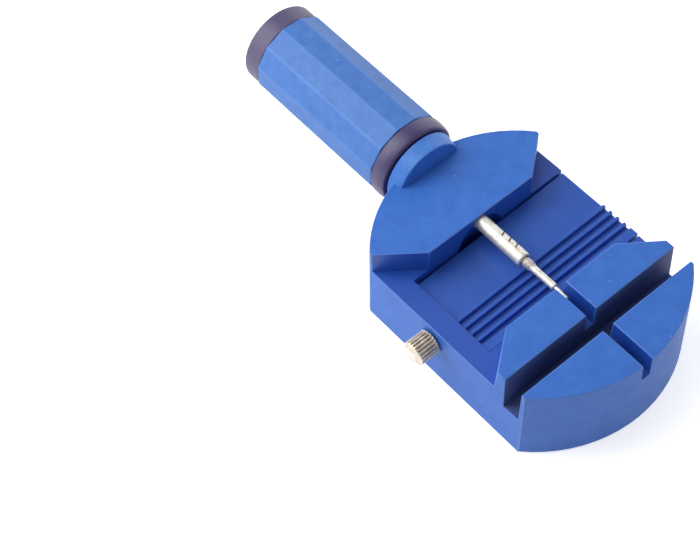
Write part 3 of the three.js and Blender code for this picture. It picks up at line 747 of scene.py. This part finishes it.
@dataclass
class HeightDrive:
    """The knurled knob on its screw, and the clip that holds it in the wall."""

    knob_radius: float = 2.45
    knob_length: float = 4.2
    outer_ease: float = 0.4
    inner_ease: float = 0.22
    teeth: int = 22
    columns_a_tooth: int = 16
    tooth_depth: float = 0.25
    tooth_fade: float = 0.3
    rim_inset: float = 0.34
    rim_fade: float = 0.26
    knob_rows: int = 12
    shank_radius: float = 1.0
    clip_groove_radius: float = 0.65
    clip_play: float = 0.15
    thread_pitch: float = 0.4
    thread_depth: float = 0.12
    thread_setback: float = 6.4
    tip_ease: float = 0.4
    thread_rows: int = 130

    def knob_ends(self) -> tuple[float, float]:
        """Gives the knob's outer and inner end along the screw, in millimetres."""
        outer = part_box("height_screw")[0].x / MM
        return outer, outer + self.knob_length

    def tooth_shape(self, turn: Array) -> Array:
        """Gives the knurl's depth as a share: cos(teeth * angle / 2) to the sixth power."""
        return np.cos(turn * self.teeth / 2) ** 6

    def groove(self, radius: Array, along: Array, turn: Array) -> Array:
        """Cuts the knurl and the screw's thread.

        The knurl takes its depth times its shape, faded out over both ends of the knob and
        towards its axis. The thread takes its depth times a raised cosine of the place along
        the screw over the pitch, less the angle.

        Args:
            radius: the plain radius at each point.
            along: the place along the screw.
            turn: the angle round it.

        Returns:
            The cut radius.
        """
        outer, inner = self.knob_ends()
        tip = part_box("height_screw")[1].x / MM
        rim = fade(radius, self.knob_radius - self.rim_inset, self.rim_fade)
        ends = fade(along, outer + 0.18, self.tooth_fade)
        ends = ends * fade(-along, 0.1 - inner, self.tooth_fade)
        knurl = self.tooth_depth * self.tooth_shape(turn) * rim * ends
        wave = 0.5 - 0.5 * np.cos(2 * np.pi * along / self.thread_pitch - turn)
        on_shank = np.abs(radius - self.shank_radius) < 0.02
        threaded = on_shank & (along > inner + self.thread_setback) & (along < tip - self.tip_ease)
        return radius - knurl - np.where(threaded, self.thread_depth * wave, 0)

    def groove_number(self, radius: Array, along: Array, turn: Array) -> Array:
        """Gives the faces at the bottom of the knurl the second finish.

        Args:
            radius: the cut radius at each face's middle.
            along: the place along the screw.
            turn: the angle round it.

        Returns:
            One in the grooves and nothing elsewhere.
        """
        outer, inner = self.knob_ends()
        on_knob = (along > outer + self.tooth_fade) & (along < inner - self.tooth_fade)
        cut = self.knob_radius - radius
        deep = (cut > 0.4 * self.tooth_depth) & (cut < 1.05 * self.tooth_depth)
        return np.where(on_knob & deep & (self.tooth_shape(turn) > 0.35), 1, 0)

    def profile(self) -> Array:
        """Draws the knob, the shank and the clip's groove, with rows for knurl and thread.

        Returns:
            The rounded profile, one point in each row.
        """
        clip_low, clip_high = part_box("screw_clip")
        outer, inner = self.knob_ends()
        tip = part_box("height_screw")[1].x / MM
        start, end = clip_low.x / MM - self.clip_play, clip_high.x / MM + self.clip_play
        knob, shank, neck = self.knob_radius, self.shank_radius, self.clip_groove_radius
        corners = [
            (0, outer), (knob, outer), (knob, inner), (shank, inner), (shank, start), (neck, start),
            (neck, end), (shank, end), (shank, tip), (0, tip),
        ]
        radii = [0, self.outer_ease, self.inner_ease, 0.1, 0.08, 0.05, 0.05, 0.08, self.tip_ease, 0]
        knurl_rows = np.linspace(outer + 0.5, inner - 0.4, self.knob_rows)
        screw_rows = np.linspace(end + 0.2, tip - 0.5, self.thread_rows)
        extra = np.vstack([level_rows(knob, knurl_rows), level_rows(shank, screw_rows)])
        return insert_rows(rounded(corners, radii, steps=6), extra)

    def build(self) -> None:
        """Builds the screw with its knob, and dresses its clip."""
        name, columns = "height_screw_knob", self.teeth * self.columns_a_tooth
        piece = TurnedPiece(
            name, Axis.HEIGHT_SCREW, self.profile(), columns,
            relief=self.groove, number=self.groove_number,
        )
        finishes = [NICKEL_PLATE, GROOVE_TARNISH]
        place_piece(name, piece.mesh(), "screw", "height_screw", finishes)
        dress_node("screw_clip", SPRING_STEEL)


@dataclass
class Handle:
    """The twelve-sided grip with its two purple trims."""

    columns: int = 160
    grip_ease: float = 0.3
    grip_gap: float = 0.1
    facet_reach: float = 7.6
    grip_end_setback: float = 3.3
    end_weight: float = 0.5
    facet_weight: float = 0.8
    ring_radius: float = 8.4
    ring_face_radius: float = 8.15
    ring_ease: float = 0.45
    ring_lip: float = 1.0
    ring_overlap: float = 0.3
    spigot_radius: float = 7.15
    bore_radius: float = 5.3
    cap_radius: float = 8.15
    cap_ease: float = 0.55
    plug_radius: float = 5.3

    def edge_weight(self, middle: Array, rise: float) -> float:
        """Rounds the grip's outer edges only, and its long corners more than its ends.

        Args:
            middle: the edge's middle, in millimetres.
            rise: the share of the edge's length that goes up, unused here.

        Returns:
            Nothing inside the grip, less at its ends, and more along its corners.
        """
        if Axis.SPINDLE.distance(middle[0], middle[2]) < self.facet_reach:
            return 0.0
        low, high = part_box("grip")
        front, back = low.y / MM + self.grip_end_setback, high.y / MM
        at_end = min(abs(middle[1] - back), abs(middle[1] - front)) < 0.6
        return self.end_weight if at_end else self.facet_weight

    def build(self) -> None:
        """Builds the grip and its trims."""
        copy = EasedCopy("grip", self.grip_ease, 20, self.edge_weight)
        mesh = copy.mesh("handle_grip")
        # the second finish paints a highlight on the rounded edges, with some wear
        finishes = [GRIP_BLUE, GRIP_EDGE_HIGHLIGHT_AND_WEAR]
        grip = place_piece("handle_grip", mesh, "handle", "grip", finishes)
        copy.round_edges(grip)
        self.build_trim("handle_front_ring", "front_ring", self.ring_profile(), True, SATIN_PURPLE)
        # the cap's paler purple is painted sheen
        self.build_trim("handle_end_cap", "end_cap", self.cap_profile(), False, PAINTED_SHEEN_PURPLE)

    def build_trim(
        self, name: str, stands_for: str, profile: Array, closed: bool, finish: MouldedPlastic
    ) -> None:
        """Turns one of the purple trims and dresses it.

        Args:
            name: the piece's name.
            stands_for: the CAD node that it replaces.
            profile: its rounded profile.
            closed: whether the profile is a loop.
            finish: its plastic.
        """
        piece = TurnedPiece(name, Axis.SPINDLE, profile, self.columns, closed)
        made = place_piece(name, piece.mesh(), "handle", stands_for, [finish])
        even_shading(made)

    def ring_profile(self) -> Array:
        """Draws the ring in front of the grip, an L in section.

        Returns:
            The rounded profile, a loop, one point in each row.
        """
        low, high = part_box("front_ring")
        front = low.y / MM
        back = high.y / MM + self.ring_overlap - self.grip_gap
        lip = front + self.ring_lip
        corners = [
            (self.bore_radius, front), (self.ring_face_radius, front),
            (self.ring_radius, lip + 0.3), (self.ring_radius, back), (self.spigot_radius, back),
            (self.spigot_radius, lip), (self.bore_radius, lip),
        ]
        radii = [0.25, self.ring_ease, 0.5, 0.3, 0.05, 0.05, 0.1]
        return rounded(corners, radii, steps=8, closed=True)

    def cap_profile(self) -> Array:
        """Draws the cap with the plug that closes the grip.

        Returns:
            The rounded profile, one point in each row.
        """
        low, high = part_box("end_cap")
        plug, end = low.y / MM, high.y / MM
        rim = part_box("grip")[1].y / MM + self.grip_gap
        corners = [
            (0, plug), (self.plug_radius, plug), (self.plug_radius, rim), (self.cap_radius, rim),
            (self.cap_radius, end), (0, end),
        ]
        return rounded(corners, [0, 0.5, 0.1, 0.3, self.cap_ease, 0], steps=8)


@dataclass
class PinTrain:
    """The steel holder that swivels in the handle, its screwed tip and the ejector pin."""

    rod_radius: float = 1.4
    rod_columns: int = 120
    socket_radius: float = 0.9
    socket_depth: float = 3.0
    collar_radius: float = 2.6
    collar_width: float = 0.8
    web_width: float = 2.7
    web_play: float = 0.3
    clip_groove_radius: float = 0.65
    clip_play: float = 0.15
    mark_setback: float = 2.6
    mark_pitch: float = 1.7
    mark_count: int = 3
    mark_width: float = 0.26
    mark_depth: float = 0.27
    mark_tilt: float = 56.0
    mark_skew: float = 24.0
    mark_reach: float = 0.6
    mark_step: float = 0.05
    tip_columns: int = 96
    tip_rod_radius: float = 0.65
    tip_tail_radius: float = 0.7
    thread_setback: float = 5.56
    thread_radius: float = 0.98
    thread_root: float = 0.78
    thread_pitch: float = 0.42
    thread_turns: int = 4
    thread_rows: int = 120
    thread_fade: float = 0.12
    cone_length: float = 0.5
    pin_seat_depth: float = 1.8
    pin_seat_play: float = 0.05
    pin_radius: float = 0.33
    pin_columns: int = 48

    def build(self) -> None:
        """Builds the holder, the tip and the pin, and dresses the clip."""
        holder, tip, wire = "pin_holder_rod", "pin_tip_chuck", "ejector_wire"
        rod = TurnedPiece(
            holder, Axis.SPINDLE, self.holder_profile(), self.rod_columns,
            relief=self.cut_marks, number=self.mark_number,
        )
        chuck = TurnedPiece(
            tip, Axis.SPINDLE, self.tip_profile(), self.tip_columns,
            relief=self.ridges, number=self.root_number,
        )
        pin = TurnedPiece(wire, Axis.SPINDLE, self.pin_profile(), self.pin_columns)
        marked, threaded = [GROUND_STEEL, MARK_OXIDE], [GROUND_STEEL, THREAD_ROOT]
        place_piece(holder, rod.mesh(), "pin", "pin_holder", marked)
        place_piece(tip, chuck.mesh(), "pin", "pin_tip", threaded)
        place_piece(wire, pin.mesh(), "pin", "ejector_pin", [GROUND_STEEL])
        dress_node("holder_clip", SPRING_STEEL)

    def mark_places(self) -> Array:
        """Gives the middle of each mark along the rod, in millimetres."""
        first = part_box("pin_holder")[0].y / MM + self.mark_setback
        return first + self.mark_pitch * np.arange(self.mark_count)

    def mark_side(self, turn: Array) -> Array:
        """Gives the cosine of the angle from the middle of the marked side."""
        return np.cos(turn - math.radians(90 - self.mark_tilt))

    def in_mark(self, along: Array, turn: Array) -> Array:
        """Says which points lie within a mark's width and on its side of the rod.

        A mark runs forward towards the rod's top by the tangent of its skew.

        Args:
            along: the place along the rod.
            turn: the angle round it.

        Returns:
            True where a point lies in a mark.
        """
        up = self.rod_radius * np.sin(math.radians(90 - self.mark_tilt) - turn)
        skewed = along + math.tan(math.radians(self.mark_skew)) * up
        away = np.abs(skewed[..., None] - self.mark_places()).min(axis=-1)
        return (away < self.mark_width / 2) & (self.mark_side(turn) > 0)

    def cut_marks(self, radius: Array, along: Array, turn: Array) -> Array:
        """Cuts each mark down to a flat: its distance from the axis over the cosine."""
        flat = (self.rod_radius - self.mark_depth) / np.maximum(self.mark_side(turn), 0.2)
        return np.where(self.in_mark(along, turn), np.minimum(radius, flat), radius)

    def mark_number(self, radius: Array, along: Array, turn: Array) -> Array:
        """Gives the faces at the bottom of a mark the second finish."""
        return np.where(self.in_mark(along, turn) & (radius < self.rod_radius - 0.03), 1, 0)

    def holder_profile(self) -> Array:
        """Draws the rod with its socket, collar and clip groove, and rows for the marks.

        Returns:
            The rounded profile, one point in each row.
        """
        low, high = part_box("pin_holder")
        clip_low, clip_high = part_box("holder_clip")
        front, back = low.y / MM, high.y / MM
        collar_end = clip_low.y / MM - self.web_width - 2 * self.web_play
        collar = collar_end - self.collar_width
        start, end = clip_low.y / MM - self.clip_play, clip_high.y / MM + self.clip_play
        rod, wide, neck = self.rod_radius, self.collar_radius, self.clip_groove_radius
        corners = [
            (0, front + self.socket_depth), (self.socket_radius, front + self.socket_depth),
            (self.socket_radius, front), (rod, front), (rod, collar), (wide, collar),
            (wide, collar_end), (rod, collar_end), (rod, start), (neck, start), (neck, end),
            (rod, end), (rod, back), (0, back),
        ]
        radii = [0, 0.1, 0.06, 0.2, 0.1, 0.12, 0.12, 0.1, 0.08, 0.05, 0.05, 0.08, 0.3, 0]
        marks = self.mark_places()
        rows = np.arange(marks[0] - self.mark_reach, marks[-1] + self.mark_reach, self.mark_step)
        return insert_rows(rounded(corners, radii, steps=6), level_rows(rod, rows))

    def thread_ends(self) -> tuple[float, float]:
        """Gives the front and back end of the tip's thread, in millimetres."""
        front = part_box("pin_tip")[0].y / MM + self.thread_setback
        return front, front + self.thread_turns * self.thread_pitch

    def ridges(self, radius: Array, along: Array, turn: Array) -> Array:
        """Winds a rounded thread on the tip.

        The radius swings between root and crest as the cosine of the place along the tip over
        the pitch, less the angle, and fades out at both ends.

        Args:
            radius: the plain radius at each point.
            along: the place along the tip.
            turn: the angle round it.

        Returns:
            The threaded radius.
        """
        front, back = self.thread_ends()
        inside = fade(along, front, self.thread_fade) * fade(-along, -back, self.thread_fade)
        wave = 0.5 + 0.5 * np.cos(2 * np.pi * (along - front) / self.thread_pitch - turn)
        crest = self.thread_root + (self.thread_radius - self.thread_root) * wave * inside
        threaded = (along > front) & (along < back) & (radius > 0.5)
        return np.where(threaded, crest, radius)

    def root_number(self, radius: Array, along: Array, turn: Array) -> Array:
        """Gives the faces at the root of the thread the second finish.

        Args:
            radius: the threaded radius at each face's middle.
            along: the place along the tip.
            turn: the angle round it, unused here.

        Returns:
            One at the root and nothing elsewhere.
        """
        front, back = self.thread_ends()
        on_thread = (along > front - 0.05) & (along < back + 0.05)
        return np.where(on_thread & (radius < self.thread_root + 0.08), 1, 0)

    def tip_profile(self) -> Array:
        """Draws the tip: the pin's seat, a thin rod, a cone, the thread and a plain tail.

        Returns:
            The rounded profile, one point in each row.
        """
        low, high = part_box("pin_tip")
        front, back = low.y / MM, high.y / MM
        thread, tail = self.thread_ends()
        rod, root, plain = self.tip_rod_radius, self.thread_root, self.tip_tail_radius
        seat = self.pin_radius + self.pin_seat_play
        corners = [
            (0, front + self.pin_seat_depth), (seat, front + self.pin_seat_depth), (seat, front),
            (rod, front), (rod, thread - self.cone_length), (root, thread), (root, tail),
            (plain, tail + 0.05), (plain, back), (0, back),
        ]
        radii = [0, 0.05, 0.03, 0.22, 0.2, 0.05, 0.02, 0.02, 0.1, 0]
        rows = np.linspace(thread + 0.03, tail - 0.03, self.thread_rows)
        return insert_rows(rounded(corners, radii, steps=6), level_rows(root, rows))

    def pin_profile(self) -> Array:
        """Draws the hardened wire with its flat, rounded end.

        Returns:
            The rounded profile, one point in each row.
        """
        low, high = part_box("ejector_pin")
        front, back = low.y / MM, high.y / MM
        corners = [(0, front), (self.pin_radius, front), (self.pin_radius, back), (0, back)]
        return rounded(corners, [0, 0.16, 0.1, 0], steps=8)


@dataclass(frozen=True)
class SoftBox:
    """A square soft box: its name, place and side in metres, power and colour."""

    name: str
    place: Place
    size: float
    watts: float
    colour: str = "#ffffff"

    def hang(self, target: Place) -> None:
        """Hangs the soft box so that it faces a point.

        Args:
            target: the point, in metres.
        """
        data = bpy.data.lights.new(self.name, "AREA")
        data.size = self.size
        data.energy = self.watts
        data.color = linear(self.colour)[:3]
        lamp = bpy.data.objects.new(self.name, data)
        bpy.context.scene.collection.objects.link(lamp)
        lamp.location = self.place
        aim = Vector(target) - Vector(self.place)
        lamp.rotation_euler = aim.to_track_quat("-Z", "Y").to_euler()


@dataclass
class Studio:
    """Pale floor, soft lamps and the camera."""

    lens: float = 93.944
    sensor: float = 36.0
    position: Place = (-133.216, -118.654, 277.943)
    right: Place = (0.75758, -0.65214, -0.02803)
    up: Place = (0.55518, 0.62117, 0.55310)
    back: Place = (-0.34329, -0.43458, 0.83264)
    floor_reach: float = 1.5
    floor_paint: str = "#f2f2f4"
    floor_lift: float = 0.6
    wall_glow: float = 0.6
    ceiling_glow: float = 0.25
    target: Place = (0.0, 0.01, 0.01)
    lamps: tuple[SoftBox, ...] = (
        SoftBox("key_left_behind", (-0.18, 0.24, 0.18), 0.26, 0.78),
        SoftBox("soft_overhead", (-0.09, 0.12, 0.29), 0.22, 0.42),
        SoftBox("card_right", (0.46, 0.26, 0.22), 0.50, 1.05),
        SoftBox("card_front", (0.20, -0.46, 0.09), 0.40, 0.32),
    )

    def camera(self) -> None:
        """Sets the camera at the fitted place, looking against its back vector."""
        data = bpy.data.cameras.new("camera")
        data.lens = self.lens
        data.sensor_width = self.sensor
        data.clip_start = 0.01
        data.clip_end = 20
        camera = bpy.data.objects.new("camera", data)
        bpy.context.scene.collection.objects.link(camera)
        turned = Matrix([self.right, self.up, self.back]).transposed().to_4x4()
        camera.matrix_world = Matrix.Translation(Vector(self.position) * MM) @ turned
        bpy.context.scene.camera = camera

    def floor(self) -> None:
        """Lays the floor: painted board, lifted to white for the camera and for gloss.

        The lift lights nothing else, so the board keeps the tool's shadow.
        """
        mesh = bpy.data.meshes.new("floor")
        reach = self.floor_reach
        corners = [(-reach, -reach, 0), (reach, -reach, 0), (reach, reach, 0), (-reach, reach, 0)]
        mesh.from_pydata(corners, [], [(0, 1, 2, 3)])
        material, tree = blank_material("painted_board")
        paint = node(tree, "ShaderNodeBsdfDiffuse", inputs={"Color": linear(self.floor_paint)})
        path = node(tree, "ShaderNodeLightPath")
        seen = node(tree, "ShaderNodeMath", {"operation": "MAXIMUM"}, {
            0: path.outputs["Is Camera Ray"], 1: path.outputs["Is Glossy Ray"]
        })
        strength = node(tree, "ShaderNodeMath", {"operation": "MULTIPLY"}, {
            0: seen.outputs[0], 1: self.floor_lift
        })
        white = linear("#ffffff")
        lift = node(tree, "ShaderNodeEmission", inputs={
            "Color": white, "Strength": strength.outputs[0]
        })
        both = node(tree, "ShaderNodeAddShader", inputs={0: paint.outputs[0], 1: lift.outputs[0]})
        node(tree, "ShaderNodeOutputMaterial", inputs={"Surface": both.outputs[0]})
        mesh.materials.append(material)
        floor = bpy.data.objects.new("floor", mesh)
        bpy.context.scene.collection.objects.link(floor)

    def world(self) -> None:
        """Lights the studio: bright walls, a dimmer ceiling, and white to the camera."""
        world = bpy.data.worlds.new("studio")
        bpy.context.scene.world = world
        world.use_nodes = True
        tree = world.node_tree
        tree.nodes.clear()
        direction = node(tree, "ShaderNodeTexCoord").outputs["Generated"]
        parts = node(tree, "ShaderNodeSeparateXYZ", inputs={"Vector": direction})
        wall = node(tree, "ShaderNodeMapRange", {"interpolation_type": "SMOOTHSTEP"}, {
            "Value": parts.outputs["Z"], "From Min": 0.05, "From Max": 0.75,
            "To Min": self.wall_glow, "To Max": self.ceiling_glow,
        })
        white = linear("#ffffff")
        glow = node(tree, "ShaderNodeBackground", inputs={
            "Color": white, "Strength": wall.outputs["Result"]
        })
        plain = node(tree, "ShaderNodeBackground", inputs={"Color": white, "Strength": 1.0})
        seen = node(tree, "ShaderNodeLightPath").outputs["Is Camera Ray"]
        mixed = node(tree, "ShaderNodeMixShader", inputs={
            0: seen, 1: glow.outputs[0], 2: plain.outputs[0]
        })
        node(tree, "ShaderNodeOutputWorld", inputs={"Surface": mixed.outputs[0]})

    def build(self) -> None:
        """Builds the whole studio."""
        self.camera()
        self.floor()
        self.world()
        for lamp in self.lamps:
            lamp.hang(self.target)
        bpy.context.scene.view_settings.view_transform = "Standard"


def main() -> None:
    """Builds the studio and the tool's sub-assemblies in order."""
    Studio().build()
    for assembly in (Base(), BandTray(), HeightDrive(), Handle(), PinTrain()):
        assembly.build()


if __name__ == "__main__":
    main()
